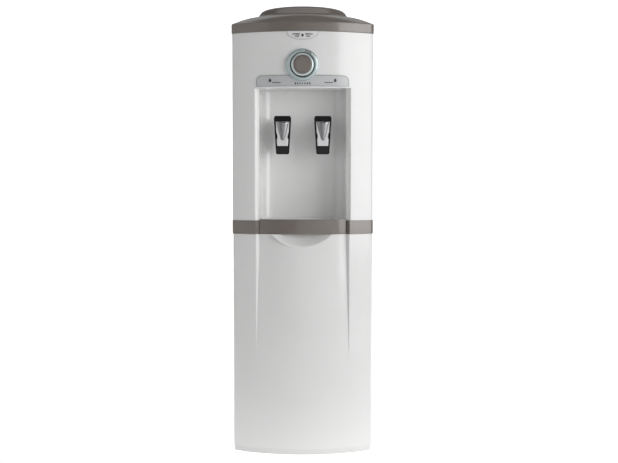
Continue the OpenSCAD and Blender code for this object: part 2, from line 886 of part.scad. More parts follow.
// Half of the foam jacket: s is -1 for the front half and 1 for the rear half.
module insulation(s) {
  difference() {
    intersection() {
      z_rod(0, tank_y, insulation_z, tank_top, insulation_r);
      block(-100, 100, s > 0 ? tank_y : tank_y - 100, s > 0 ? tank_y + 100 : tank_y, 0, total_h);
    }
    z_rod(0, tank_y, insulation_z + insulation_floor + 10, tank_top + 1, insulation_in_r);
    z_rod(0, tank_y, tank_z - 0.2, tank_z + 8, insulation_in_r);
    z_rod(tap_right, outlet_y, 0, tank_z + 5, hose_r + 0.5);
    y_rod(tap_left, ambient_z, tank_y - 100, tank_y, hose_r + 0.5);
    y_rod(bulb_x, bulb_z, tank_y - 100, tank_y, 2);
    for (x = [-coil_ring_r, coil_ring_r]) z_rod(x, tank_y, 0, tank_z + 5, pipe_r + 1);
  }
}

module insulation_front() {
  color(foam) insulation(-1);
}

module insulation_rear() {
  color(foam) insulation(1);
}

module tank_shelf() {
  out = body_w / 2 + lower_grow - sheet;
  color(steel)
  difference() {
    union() {
      block(-out, out, niche_y + 4, back_y - 2 * sheet, shelf_z, insulation_z);
      block(-out, out, niche_y + 4, niche_y + 4 + sheet, shelf_z - 20, shelf_z);
      block(-out, out, back_y - 3 * sheet, back_y - 2 * sheet, shelf_z - 20, shelf_z);
    }
    z_rod(tap_right, outlet_y, 0, total_h, hose_r + 2);
    for (x = [-coil_ring_r, coil_ring_r]) z_rod(x, tank_y, 0, total_h, pipe_r + 2);
    z_rod(tap_right, hose_y, 0, total_h, hose_r + 1);
  }
}

module cold_hose() {
  color([0.9, 0.92, 0.94])
  pipe([[tap_right, outlet_y, shelf_z - 12], [tap_right, outlet_y, shelf_z - 30],
    [tap_right, hose_y, shelf_z - 30], [tap_right, hose_y, inlet_z],
    [tap_right, stem_end, inlet_z]], hose_r);
}

module ambient_hose() {
  color([0.9, 0.92, 0.94])
  pipe([[tap_left, tank_y - 70, ambient_z], [tap_left, hose_y, ambient_z],
    [tap_left, hose_y, inlet_z], [tap_left, stem_end, inlet_z]], hose_r);
}

module compressor() {
  color(black)
  difference() {
    union() {
      translate([0, comp_y, 0]) rotate_extrude() polygon(concat(
        [[0, comp_z]],
        [for (a = [0 : 15 : 75]) [comp_r - 28 + 28 * sin(a), comp_z + 28 - 28 * cos(a)]],
        [for (a = [0 : 15 : 75]) [comp_r - 36 + 36 * cos(a), comp_top - 36 + 36 * sin(a)]],
        [[0, comp_top]]));
      block(-76, 76, comp_y - 55, comp_y + 55, comp_z - 3, comp_z + eps);
      for (x = [-pipe_x, pipe_x]) z_rod(x, comp_y, comp_top - 20, stub_top, pipe_r + 1);
      block(40, 66, comp_y - 16, comp_y + 16, 76, 116);
    }
    for (p = bolt_places) z_rod(p.x, p.y, 0, 60, 3);
  }
}

module compressor_grommets() {
  color(rubber)
  for (p = bolt_places) difference() {
    z_rod(p.x, p.y, pan_floor, comp_z - 3, 10);
    z_rod(p.x, p.y, 0, 60, 3);
  }
}

module compressor_bolts() {
  color(steel)
  for (p = bolt_places) {
    z_rod(p.x, p.y, foot_h, comp_z, 3);
    z_rod(p.x, p.y, comp_z, comp_z + 4, 6);
  }
}

module relay_box() {
  color(black)
  block(66, 88, comp_y - 20, comp_y + 20, 72, 122);
}

module suction_tube() {
  color(copper)
  pipe([[-coil_ring_r, tank_y, coil_z - coil_r - 0.2], [-coil_ring_r, comp_y, 195],
    [-pipe_x, comp_y, 195], [-pipe_x, comp_y, stub_top]], pipe_r);
}

module discharge_tube() {
  color(copper)
  pipe([[pipe_x, comp_y, stub_top], [pipe_x, comp_y, discharge_z], [pipe_x, tube_y, discharge_z],
    [run_w / 2, tube_y, discharge_z], [run_w / 2, tube_y, run_z - 12]], tube_r);
}

module capillary_tube() {
  color(copper)
  pipe([[drier_x, drier_y, drier_z], [drier_x, drier_y, capillary_z],
    [drier_x, back_y - 30, capillary_z], [coil_ring_r, back_y - 30, capillary_z],
    [coil_ring_r, tank_y, capillary_z], [coil_ring_r, tank_y, coil_z - coil_r - 0.2]], 1.3);
}

// Serpentine tube with a row of vertical wires along its front and another along its back.
module condenser() {
  half = run_w / 2;
  bend = run_pitch / 2;
  color(black) {
    for (i = [0 : run_count - 1]) x_rod(tube_y, run_z + run_pitch * i, -half, half, tube_r);
    for (i = [0 : run_count - 2]) {
      side = i % 2 == 0 ? -1 : 1;
      translate([side * half, tube_y, run_z + run_pitch * i + bend])
        rotate([90, 0, side > 0 ? 0 : 180]) rotate_half(bend);
    }
    z_rod(half, tube_y, run_z - 12, run_z, tube_r);
    translate([half, tube_y, run_z]) sphere(r = tube_r);
    for (i = [0 : 14], y = [front_wire_y, rear_wire_y])
      z_rod(13 * (i - 7), y, run_z - 6, run_top + 6, wire_r);
  }
}

module rotate_half(bend) {
  rotate([0, 0, -90]) rotate_extrude(angle = 180) translate([bend, 0]) circle(r = tube_r, $fn = 24);
}

module condenser_standoffs() {
  color(black)
  for (p = standoff_places) y_rod(p.x, p.y, back_y, front_wire_y - wire_r, 6, 4);
}

module filter_drier() {
  color(copper) {
    z_rod(drier_x, drier_y, drier_z, drier_z + 12, 2.4, 8);
    z_rod(drier_x, drier_y, drier_z + 12, drier_z + 80, 8);
    z_rod(drier_x, drier_y, drier_z + 80, drier_z + 92, 8, 2.4);
    pipe([[drier_x, drier_y, drier_z + 91], [drier_x, drier_y, run_top],
      [-run_w / 2 - 12, tube_y, run_top], [-run_w / 2, tube_y, run_top]], tube_r);
  }
}

top_cover();
bottle_funnel();
upper_front_panel();
niche_liner();
badge_plate();
control_strip();
strip_marks();
dial_bezel();
dial_mark();
dial_base();
thermostat();
thermostat_bulb();
thermostat_knob();
knob_cap();
tap_body(tap_left);  // tap_body_left
tap_body(tap_right);  // tap_body_right
tap_lever(tap_left);  // tap_lever_left
tap_lever(tap_right);  // tap_lever_right
lever_insert(tap_left);  // lever_insert_left
lever_insert(tap_right);  // lever_insert_right
lever_pad(tap_left);  // lever_pad_left
lever_pad(tap_right);  // lever_pad_right
tap_plunger(tap_left);  // tap_plunger_left
tap_plunger(tap_right);  // tap_plunger_right
tap_spring(tap_left);  // tap_spring_left
tap_spring(tap_right);  // tap_spring_right
tap_caps();
tap_pins();
tap_washers();
tap_nuts();
mid_band();
tray_shelf();
drip_tray();
drip_grille();
lower_front_panel();
base_pan();
rubber_feet();
side_panel(-1);  // side_panel_left
side_panel(1);  // side_panel_right
rear_panel();
rear_screws();
power_inlet();
cold_tank();
feed_chamber();
evaporator_coil();
insulation_front();
insulation_rear();
tank_shelf();
cold_hose();
ambient_hose();
compressor();
compressor_grommets();
compressor_bolts();
relay_box();
suction_tube();
discharge_tube();
capillary_tube();
condenser();
condenser_standoffs();
filter_drier();
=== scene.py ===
"""Floor-standing water dispenser: finishes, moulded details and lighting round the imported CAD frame."""
import json
import math

import bpy
import numpy as np
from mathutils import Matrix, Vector


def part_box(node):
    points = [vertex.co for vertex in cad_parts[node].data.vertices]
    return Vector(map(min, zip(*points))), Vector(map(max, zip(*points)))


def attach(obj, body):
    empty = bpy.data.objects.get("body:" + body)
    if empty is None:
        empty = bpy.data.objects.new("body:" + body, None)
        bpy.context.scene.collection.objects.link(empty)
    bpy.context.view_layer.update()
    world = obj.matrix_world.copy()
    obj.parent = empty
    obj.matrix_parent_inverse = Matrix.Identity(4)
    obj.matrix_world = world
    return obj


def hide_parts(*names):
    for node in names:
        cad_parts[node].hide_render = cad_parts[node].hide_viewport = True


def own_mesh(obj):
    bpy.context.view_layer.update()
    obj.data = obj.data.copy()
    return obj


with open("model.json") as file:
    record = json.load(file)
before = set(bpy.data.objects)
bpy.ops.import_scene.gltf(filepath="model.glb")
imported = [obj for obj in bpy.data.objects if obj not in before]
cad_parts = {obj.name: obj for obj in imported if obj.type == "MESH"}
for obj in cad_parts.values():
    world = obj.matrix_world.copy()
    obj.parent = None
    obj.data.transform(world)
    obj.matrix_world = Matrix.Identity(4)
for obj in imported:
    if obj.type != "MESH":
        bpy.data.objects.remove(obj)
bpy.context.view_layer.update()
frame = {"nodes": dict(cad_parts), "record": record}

MM = 0.001


# ---------------------------------------------------------------- camera

def aim(obj, target):
    """Turn an object's -Z towards a point, with +Y up."""
    obj.rotation_euler = (Vector(target) - obj.location).to_track_quat("-Z", "Y").to_euler()


def make_camera():
    """A standing viewer's camera in front of the column, level with the niche's floor."""
    distance = 2270 * MM
    eye = 613 * MM
    aim_z = 484 * MM
    side = 13.5 * MM
    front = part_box("top_cover")[0].y
    data = bpy.data.cameras.new("view")
    data.sensor_width = 36
    data.lens = 62.85
    cam = bpy.data.objects.new("view", data)
    bpy.context.scene.collection.objects.link(cam)
    cam.location = (side, front - distance, eye)
    aim(cam, (side, front, aim_z))
    bpy.context.scene.camera = cam


# ---------------------------------------------------------------- materials

class Nodes:
    """Small helper that builds one node material round a Principled shader."""

    def __init__(self, name, colour, rough, metallic=0.0, **sockets):
        """Start with plain values; other sockets are named with _ for a space."""
        self.mat = bpy.data.materials.new(name)
        self.mat.use_nodes = True
        self.tree = self.mat.node_tree
        self.shader = self.tree.nodes["Principled BSDF"]
        self.colour = colour
        self.shader.inputs["Base Color"].default_value = (*colour, 1)
        self.shader.inputs["Roughness"].default_value = rough
        self.shader.inputs["Metallic"].default_value = metallic
        for key, value in sockets.items():
            self.shader.inputs[key.replace("_", " ")].default_value = value
        self.coord = self.tree.nodes.new("ShaderNodeTexCoord")

    def link(self, a, b):
        """Wire an output socket to an input socket."""
        self.tree.links.new(a, b)

    def noise(self, scale, detail, stretch=None):
        """Noise in the frame's metres; stretch scales the three axes."""
        node = self.tree.nodes.new("ShaderNodeTexNoise")
        node.inputs["Scale"].default_value = scale
        node.inputs["Detail"].default_value = detail
        source = self.coord.outputs["Object"]
        if stretch:
            mapping = self.tree.nodes.new("ShaderNodeMapping")
            mapping.inputs["Scale"].default_value = stretch
            self.link(source, mapping.inputs["Vector"])
            source = mapping.outputs["Vector"]
        self.link(source, node.inputs["Vector"])
        return node.outputs["Fac"]

    def ramp(self, value, low, high):
        """Map a 0.3 to 0.7 noise value onto low to high."""
        node = self.tree.nodes.new("ShaderNodeMapRange")
        node.inputs["From Min"].default_value = 0.3
        node.inputs["From Max"].default_value = 0.7
        node.inputs["To Min"].default_value = low
        node.inputs["To Max"].default_value = high
        self.link(value, node.inputs["Value"])
        return node.outputs["Result"]

    def vary_rough(self, value, low, high):
        """Let the roughness wander between two values."""
        self.link(self.ramp(value, low, high), self.shader.inputs["Roughness"])

    def vary_colour(self, value, amount):
        """Let the base colour drift a little lighter and darker."""
        node = self.tree.nodes.new("ShaderNodeMix")
        node.data_type = "RGBA"
        node.inputs["A"].default_value = (*[c * (1 - amount) for c in self.colour], 1)
        node.inputs["B"].default_value = (*[min(1, c * (1 + amount)) for c in self.colour], 1)
        self.link(self.ramp(value, 0, 1), node.inputs["Factor"])
        self.link(node.outputs["Result"], self.shader.inputs["Base Color"])

    def bump(self, value, height_mm):
        """Raise the surface by the value, as far as a height in millimetres."""
        node = self.tree.nodes.new("ShaderNodeBump")
        node.inputs["Strength"].default_value = 1
        node.inputs["Distance"].default_value = height_mm * MM
        self.link(value, node.inputs["Height"])
        self.link(node.outputs["Normal"], self.shader.inputs["Normal"])


def moulded(name, colour, rough, coat=0.0, grain=0.02, shine=0.5):
    """Injection-moulded plastic: faint flow marks, fine skin and slightly uneven gloss."""
    m = Nodes(name, colour, rough, Coat_Weight=coat, Coat_Roughness=0.12, Specular_IOR_Level=shine)
    m.vary_colour(m.noise(9, 3), 0.012)
    m.vary_rough(m.noise(38, 4), rough * 0.88, rough * 1.14)
    m.bump(m.noise(420, 2), grain)
    return m.mat


def coated_steel(name, colour, rough):
    """Powder coat: orange peel a few millimetres across."""
    m = Nodes(name, colour, rough, Coat_Weight=0.15, Coat_Roughness=0.2)
    m.vary_colour(m.noise(6, 3), 0.01)
    m.vary_rough(m.noise(55, 3), rough * 0.9, rough * 1.12)
    m.bump(m.noise(260, 2), 0.05)
    return m.mat


def galvanised(name, colour, rough):
    """Zinc-coated sheet: broad spangle in colour and gloss."""
    m = Nodes(name, colour, rough, metallic=0.85)
    m.vary_colour(m.noise(70, 2), 0.09)
    m.vary_rough(m.noise(90, 2), rough * 0.75, rough * 1.25)
    m.bump(m.noise(300, 2), 0.02)
    return m.mat


def brushed(name, colour, rough, stretch, metallic=1.0):
    """Metal with a brushing direction: noise drawn out along one axis."""
    m = Nodes(name, colour, rough, metallic=metallic)
    lines = m.noise(900, 2, stretch=stretch)
    m.vary_colour(m.noise(40, 2), 0.04)
    m.vary_rough(lines, rough * 0.7, rough * 1.35)
    m.bump(lines, 0.012)
    return m.mat


def spun(name, colour, rough):
    """Metal turned on a lathe: its fine rings stretch every highlight along the upright axis."""
    m = Nodes(name, colour, rough, metallic=1.0, Anisotropic=0.9, Anisotropic_Rotation=0.25)
    tangent = m.tree.nodes.new("ShaderNodeTangent")
    tangent.direction_type = "RADIAL"
    tangent.axis = "Z"
    m.link(tangent.outputs["Tangent"], m.shader.inputs["Tangent"])
    rings = m.noise(900, 2, stretch=(0.04, 0.04, 1))
    m.vary_colour(m.noise(40, 2), 0.04)
    m.vary_rough(rings, rough * 0.9, rough * 1.1)
    m.bump(rings, 0.006)
    return m.mat


def elastomer(name, colour, rough):
    """Rubber: dull, with a fine powdery skin."""
    m = Nodes(name, colour, rough, Specular_IOR_Level=0.35)
    m.vary_colour(m.noise(60, 3), 0.12)
    m.vary_rough(m.noise(120, 3), rough * 0.88, min(1, rough * 1.12))
    m.bump(m.noise(900, 3), 0.05)
    return m.mat


def foamed(name, colour):
    """Expanded polystyrene: closely packed beads."""
    m = Nodes(name, colour, 0.75)
    cells = m.tree.nodes.new("ShaderNodeTexVoronoi")
    cells.inputs["Scale"].default_value = 260
    m.link(m.coord.outputs["Object"], cells.inputs["Vector"])
    m.vary_rough(m.noise(80, 2), 0.65, 0.85)
    m.bump(cells.outputs["Distance"], 0.5)
    return m.mat


def drawn_copper(name, colour):
    """Copper tube: dull drawn skin with darker, oxidised patches."""
    m = Nodes(name, colour, 0.32, metallic=1.0)
    m.vary_colour(m.noise(30, 4), 0.28)
    m.vary_rough(m.noise(70, 3), 0.3, 0.46)
    m.bump(m.noise(500, 2), 0.02)
    return m.mat


def milky(name, colour):
    """Silicone hose: milky, with a little light passing through."""
    m = Nodes(name, colour, 0.42, Transmission_Weight=0.25, IOR=1.41)
    m.vary_colour(m.noise(40, 2), 0.03)
    m.vary_rough(m.noise(90, 2), 0.34, 0.5)
    m.bump(m.noise(400, 2), 0.03)
    return m.mat


WHITE = (0.80, 0.80, 0.795)
TAUPE = (0.162, 0.138, 0.120)

MATERIALS = {
    "cover_plastic": moulded("cover_taupe", TAUPE, 0.33, coat=0.8, shine=0.6),
    "band_plastic": moulded("band_taupe", TAUPE, 0.33, coat=0.9, shine=0.7),
    "white_plastic": moulded("white_gloss", WHITE, 0.235, coat=0.5),
    # The liner's white is paler than the body's white: painted light, standing in for the light that the
    # recess lacks.
    "liner_plastic": moulded("liner_gloss_painted_light", (0.92, 0.92, 0.915), 0.22, coat=0.5),
    "white_steel": coated_steel("white_coat", WHITE, 0.34),
    "pan_plastic": moulded("pan_white", (0.73, 0.73, 0.72), 0.5, grain=0.05),
    "natural_plastic": moulded("natural", (0.83, 0.83, 0.81), 0.45),
    "tap_plastic": moulded("tap_grey", (0.55, 0.55, 0.55), 0.34, coat=0.4),
    "strip_plastic": moulded("strip_grey", (0.55, 0.56, 0.57), 0.34, coat=0.4),
    "print_ink": moulded("ink", (0.05, 0.05, 0.055), 0.5),
    "badge_metal": brushed("badge_satin", (0.82, 0.82, 0.82), 0.4, (1, 1, 0.05), metallic=0.25),
    "bezel_metal": brushed("bezel_satin", (0.50, 0.63, 0.63), 0.19, (1, 1, 1)),
    "knob_metal": brushed("knob_satin", (0.60, 0.66, 0.66), 0.4, (1, 1, 1)),
    "insert_metal": spun("insert_silver", (0.37, 0.37, 0.38), 0.22),
    "black_plastic": moulded("black_gloss", (0.006, 0.006, 0.0065), 0.34, shine=0.2),
    "pad_rubber": elastomer("pad", (0.022, 0.022, 0.023), 0.55),
    "rubber": elastomer("black_rubber", (0.018, 0.018, 0.018), 0.7),
    "spring_steel": brushed("bright_steel", (0.58, 0.58, 0.59), 0.19, (0.2, 1, 1)),
    "zinc_steel": galvanised("zinc", (0.52, 0.53, 0.54), 0.42),
    "tank_steel": brushed("stainless", (0.62, 0.62, 0.63), 0.4, (1, 1, 0.05)),
    "copper_tube": drawn_copper("copper", (0.62, 0.30, 0.19)),
    "foam": foamed("beads", (0.86, 0.86, 0.83)),
    "hose_silicone": milky("silicone", (0.82, 0.84, 0.85)),
    "black_steel": coated_steel("black_enamel", (0.015, 0.015, 0.016), 0.34),
}

# Second finishes of pieces that have more than one.
EXTRA = {
    "bezel_face": brushed("bezel_pale", (0.66, 0.71, 0.72), 0.4, (1, 1, 1)),
    "badge_rim": brushed("badge_edge", (0.42, 0.43, 0.44), 0.4, (1, 1, 1)),
    "fine_line": moulded("line_grey", (0.20, 0.21, 0.22), 0.45),
    "insert_satin": brushed("insert_satin", (0.80, 0.80, 0.81), 0.42, (1, 1, 0.04), metallic=0.3),
}

# Edge radii in millimetres for CAD nodes whose sharp edges would look cut from card.
EDGES = {
    "upper_front_panel": 0.8, "lower_front_panel": 0.8, "mid_band": 0.7, "drip_tray": 0.8,
    "drip_grille": 0.4, "control_strip": 0.4, "tap_lever_left": 0.9, "tap_lever_right": 0.9,
    "lever_pad_left": 0.3, "lever_pad_right": 0.3, "tap_body_left": 0.4, "tap_body_right": 0.4,
    "base_pan": 0.8, "side_panel_left": 0.4, "side_panel_right": 0.4, "power_inlet": 0.6,
    "rubber_feet": 0.8, "bottle_funnel": 0.5, "relay_box": 1.2, "compressor": 0.6,
}


def dress_nodes():
    """Give every CAD node the material of its slot."""
    slots = {s["node"]: s["material_slot"] for s in frame["record"]["subparts"]}
    for name, obj in frame["nodes"].items():
        obj.data.materials.clear()
        obj.data.materials.append(MATERIALS[slots[name]])


# ---------------------------------------------------------------- mesh helpers

def piece(name, verts, faces, body, slot, mats=None, smooth=True, replaces=()):
    """A mesh in the CAD frame that rides on a body and takes its finish from a material slot."""
    mesh = bpy.data.meshes.new(name)
    mesh.from_pydata([tuple(v) for v in verts], [], [tuple(f) for f in faces])
    mesh.validate()
    mesh.polygons.foreach_set("use_smooth", [smooth] * len(mesh.polygons))
    for mat in mats or [MATERIALS[slot]]:
        mesh.materials.append(mat)
    obj = bpy.data.objects.new(name, mesh)
    bpy.context.scene.collection.objects.link(obj)
    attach(obj, body)
    if replaces:
        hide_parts(*replaces)
    return obj


def loft(rings, closed=True, wrap=False):
    """Quads between rings of equal length; closed joins each ring's ends, wrap joins last ring to first."""
    count = len(rings[0])
    verts = [v for ring in rings for v in ring]
    faces = []
    spans = len(rings) if wrap else len(rings) - 1
    for i in range(spans):
        a, b = i * count, (i + 1) % len(rings) * count
        for j in range(count if closed else count - 1):
            k = (j + 1) % count
            faces.append((a + j, a + k, b + k, b + j))
    return verts, faces


def disc_on_y(profile, x, z, steps=96):
    """Revolve (radius, y) points about a line along Y; a radius of 0 at either end closes the face."""
    rings, poles = [], []
    for r, y in profile:
        if r <= 0:
            poles.append((len(rings), y))
            continue
        rings.append([(x + r * math.cos(2 * math.pi * i / steps), y,
                       z + r * math.sin(2 * math.pi * i / steps)) for i in range(steps)])
    verts, faces = loft(rings)
    for place, y in poles:
        first = 0 if place == 0 else len(rings) - 1
        verts.append((x, y, z))
        centre = len(verts) - 1
        for i in range(steps):
            a, b = first * steps + i, first * steps + (i + 1) % steps
            faces.append((centre, b, a) if place == 0 else (centre, a, b))
    return verts, faces


def through(points, steps):
    """A smooth open curve through the points (Catmull-Rom), with a number of steps between two of them."""
    p = [np.array(q, float) for q in points]
    p = [2 * p[0] - p[1]] + p + [2 * p[-1] - p[-2]]
    out = []
    for i in range(1, len(p) - 2):
        for k in range(steps):
            t = k / steps
            out.append(0.5 * (2 * p[i] + (p[i + 1] - p[i - 1]) * t
                       + (2 * p[i - 1] - 5 * p[i] + 4 * p[i + 1] - p[i + 2]) * t * t
                       + (3 * p[i] - p[i - 1] - 3 * p[i + 1] + p[i + 2]) * t ** 3))
    return out + [p[-2]]


def rounded(points, radius, steps):
    """An open outline with each inner corner replaced by a short curve."""
    p = [np.array(q, float) for q in points]
    out = [p[0]]
    for i in range(1, len(p) - 1):
        a, b, c = p[i - 1], p[i], p[i + 1]
        start = b + (a - b) * min(0.45, radius / np.linalg.norm(a - b))
        end = b + (c - b) * min(0.45, radius / np.linalg.norm(c - b))
        for k in range(steps + 1):
            t = k / steps
            out.append((1 - t) ** 2 * start + 2 * t * (1 - t) * b + t * t * end)
    return out + [p[-1]]


def soften(node, width_mm):
    """Round a CAD node's sharp edges: its mesh stays, and modifiers do the work."""
    obj = frame["nodes"][node]
    weld = obj.modifiers.new("weld", "WELD")
    weld.merge_threshold = 0.01 * MM
    bevel = obj.modifiers.new("edges", "BEVEL")
    bevel.width = width_mm * MM
    bevel.segments = 2
    bevel.limit_method = "ANGLE"
    bevel.angle_limit = math.radians(35)
    bevel.use_clamp_overlap = True
    obj.modifiers.new("normals", "WEIGHTED_NORMAL").keep_sharp = True


# ---------------------------------------------------------------- places from the frame

# Seen from above: radii of the casing's curved front, its front corners and its rear corners.
FRONT_R = 283 * MM
CORNER_R = 10 * MM
REAR_CORNER_R = 4 * MM
# How far the top cover stands out past the casing.
COVER_GROW = 1.5 * MM
BODY_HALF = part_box("upper_front_panel")[1].x
FRONT_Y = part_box("upper_front_panel")[0].y
ARC_Y = FRONT_Y + FRONT_R
BACK_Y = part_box("rear_panel")[1].y
DIAL_Z = (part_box("thermostat_knob")[0].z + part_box("thermostat_knob")[1].z) / 2


def face_y(x, grow=0.0):
    """Y of the upper panel's curved face at a given x, or of a face that stands proud of it."""
    return ARC_Y - math.sqrt((FRONT_R + grow) ** 2 - x * x)


def outline_radius(grow, back, count):
    """Distance from the origin to the casing's rounded outline at evenly spaced polar angles.

    The outline is sampled on its right half only, because the left half mirrors it.
    """
    half = BODY_HALF + grow
    r = CORNER_R + grow
    front = FRONT_R + grow
    rear = REAR_CORNER_R
    corner_x = half - r
    corner_y = ARC_Y - math.sqrt((front - r) ** 2 - corner_x * corner_x)
    turn = math.asin(corner_x / (front - r))
    right = [(front * math.sin(a), ARC_Y - front * math.cos(a))
             for a in np.linspace(-turn, turn, 400)[200:]]
    right += [(corner_x + r * math.sin(a), corner_y - r * math.cos(a))
              for a in np.linspace(turn, math.pi / 2, 60)]
    right += [(half, y) for y in np.linspace(corner_y, back - rear, 200)]
    right += [(half - rear + rear * math.cos(a), back - rear + rear * math.sin(a))
              for a in np.linspace(0, math.pi / 2, 30)]
    right += [(x, back) for x in np.linspace(half - rear, 0, 200)]
    polar = np.array(sorted((math.atan2(x, -y), math.hypot(x, y)) for x, y in right))
    angles = np.abs((np.arange(count) / count * 2 * math.pi + math.pi) % (2 * math.pi) - math.pi)
    return np.interp(angles, polar[:, 0], polar[:, 1])


# ---------------------------------------------------------------- top cover

def top_cover():
    """One moulding: skirt, shallow roof, and a soft round collar with a well for the bottle."""
    count = 360
    angles = np.arange(count) / count * 2 * math.pi
    low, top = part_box("top_cover")[0].z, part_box("top_cover")[1].z
    skirt = low + 20 * MM
    foot_r, foot_z = 108 * MM, top - 20 * MM
    roof_bow = 1.55

    def flat_ring(radius, z):
        """A level ring with a radius for each of the angles."""
        return [(r * math.sin(a), -r * math.cos(a), z) for r, a in zip(radius, angles)]

    def round_ring(grow_mm, z_mm):
        """A circle round the collar's axis, measured from the collar's foot."""
        return flat_ring(np.full(count, foot_r + grow_mm * MM), foot_z + z_mm * MM)

    def casing_edge(grow_mm):
        """Radius of the skirt's outline, grown outwards by some millimetres."""
        grow = COVER_GROW + grow_mm * MM
        return outline_radius(grow, BACK_Y + grow, count)

    def roof_rings(grow_mm, edge_z, round_r, round_z, steps):
        """Rings that pass from the skirt's outline to a circle and bow upwards on the way."""
        edge = casing_edge(grow_mm)
        rings = []
        for i in range(steps + 1):
            t = i / steps
            rise = 1 - (1 - t) ** roof_bow
            rings.append(flat_ring(edge * (1 - t) + round_r * t, edge_z + (round_z - edge_z) * rise))
        return rings

    # Profiles from the collar's foot in mm: outwards, then up.
    collar = through([(0, 0), (-5, 2.4), (-8.6, 6.4), (-12, 11.4), (-15.5, 15.4), (-20, 18.2),
                      (-25, 19.6), (-28.6, 20), (-31, 19.4), (-32, 17.6)], 5)
    well = [(-32, 8), (-32, 5.2), (-32.2, 4.95), (-34, 4.9), (-38, 4.9), (-38, 3), (-14, 2.4), (-8, 0)]
    lower_edge = [(-2.2, 0.2), (-0.6, 0), (-0.1, 0.3), (0, 0.9)]
    upper_edge = [(0, -1.6), (-0.12, -0.9), (-0.45, -0.35), (-1.0, 0.02)]
    rings = [flat_ring(casing_edge(grow), low + z * MM) for grow, z in lower_edge]
    rings += [flat_ring(casing_edge(0), z) for z in np.linspace(low + 3 * MM, skirt - 3 * MM, 4)]
    rings += [flat_ring(casing_edge(grow), skirt + z * MM) for grow, z in upper_edge]
    rings += roof_rings(-1.7, skirt + 0.35 * MM, foot_r, foot_z, 12)[:-1]
    rings += [round_ring(grow, z) for grow, z in [*collar, *well]]
    rings += reversed(roof_rings(-2.4, skirt - 2 * MM, foot_r - 5 * MM, foot_z - 3 * MM, 6))
    rings += [flat_ring(casing_edge(-2.4), low + 8 * MM)]
    verts, faces = loft(rings, wrap=True)
    piece("cover_shell", verts, faces, "root", "cover_plastic", replaces=["top_cover"])


# ---------------------------------------------------------------- tap niche

def inset(outline, distance):
    """An open outline moved sideways, to the right of its direction."""
    moved = []
    for i, (x, y) in enumerate(outline):
        before = np.array(outline[max(i - 1, 0)])
        after = np.array(outline[min(i + 1, len(outline) - 1)])
        along = (after - before) / np.linalg.norm(after - before)
        moved.append((x + along[1] * distance, y - along[0] * distance))
    return moved


def thicken(obj, thickness):
    """Give an open skin a wall on its hidden side."""
    wall = obj.modifiers.new("wall", "SOLIDIFY")
    wall.thickness = thickness
    wall.offset = -1


def niche():
    """The liner's inner skin: flared mouth, round rear corners, a crisp ceiling and a rear ledge."""
    liner_low, liner_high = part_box("niche_liner")
    low = liner_low.z + 0.1 * MM
    top = liner_high.z - 2.7 * MM
    back_y = -40 * MM
    wall_x, mouth_x, flare = 92 * MM, 101.3 * MM, 12 * MM
    rear_r = 28 * MM
    mouth_y = face_y(mouth_x) + 2.2 * MM
    half = rounded([(-mouth_x, mouth_y), (-wall_x, mouth_y + flare), (-wall_x, back_y - rear_r)], 6 * MM, 8)
    half += [(-wall_x + rear_r - rear_r * math.cos(a), back_y - rear_r + rear_r * math.sin(a))
             for a in np.linspace(0, math.pi / 2, 19)[1:]]
    half += [(x, back_y) for x in np.linspace(half[-1][0], 0, 9)[1:]]
    plan = [tuple(p) for p in half] + [(-x, y) for x, y in reversed(half[:-1])]

    fillet = 2 * MM
    levels = [(low, 0), (low + 3 * MM, 0)]
    levels += [(z, 0) for z in np.linspace(low + 20 * MM, top - fillet, 12)]
    levels += [(top - fillet + fillet * math.sin(a), fillet * (1 - math.cos(a)))
               for a in np.linspace(0, math.pi / 2, 10)[1:]]
    rings = [[(x, y, z) for x, y in inset(plan, d)] for z, d in levels]
    # The ceiling runs forward from the fillet to the panel's curved face.
    ceiling = rings[-1]
    for t in (0.35, 0.7, 1.0):
        ring = []
        for i, (x, y, z) in enumerate(ceiling):
            front_x = -mouth_x + 2 * mouth_x * i / (len(ceiling) - 1)
            front_y = face_y(front_x) + 0.4 * MM
            ring.append((x + (front_x - x) * t, y + (front_y - y) * t, z))
        rings.append(ring)
    verts, faces = loft(rings, closed=False)
    shell = piece("niche_shell", verts, faces, "root", "liner_plastic", replaces=["niche_liner"])
    thicken(shell, 1.6 * MM)

    ledge_y, ledge_z, ledge_foot, chamfer = -58 * MM, 506 * MM, 503.6 * MM, 0.8 * MM
    shelf = [(x, y) for x, y in plan if y > ledge_y]
    rows = [[(x, y + 1 * MM, ledge_z) for x, y in shelf],
            [(x, ledge_y + chamfer, ledge_z) for x, y in shelf],
            [(x, ledge_y, ledge_z - chamfer) for x, y in shelf],
            [(x, ledge_y, ledge_foot) for x, y in shelf]]
    verts, faces = loft(rows, closed=False)
    thicken(piece("niche_ledge", verts, faces, "root", "liner_plastic"), 1.2 * MM)


# ---------------------------------------------------------------- dial

def offsets(start_r, start_y, steps_mm):
    """Profile points given as steps in mm from one point: inwards, then back from the viewer."""
    return [(start_r - inwards * MM, start_y + behind * MM) for inwards, behind in steps_mm]


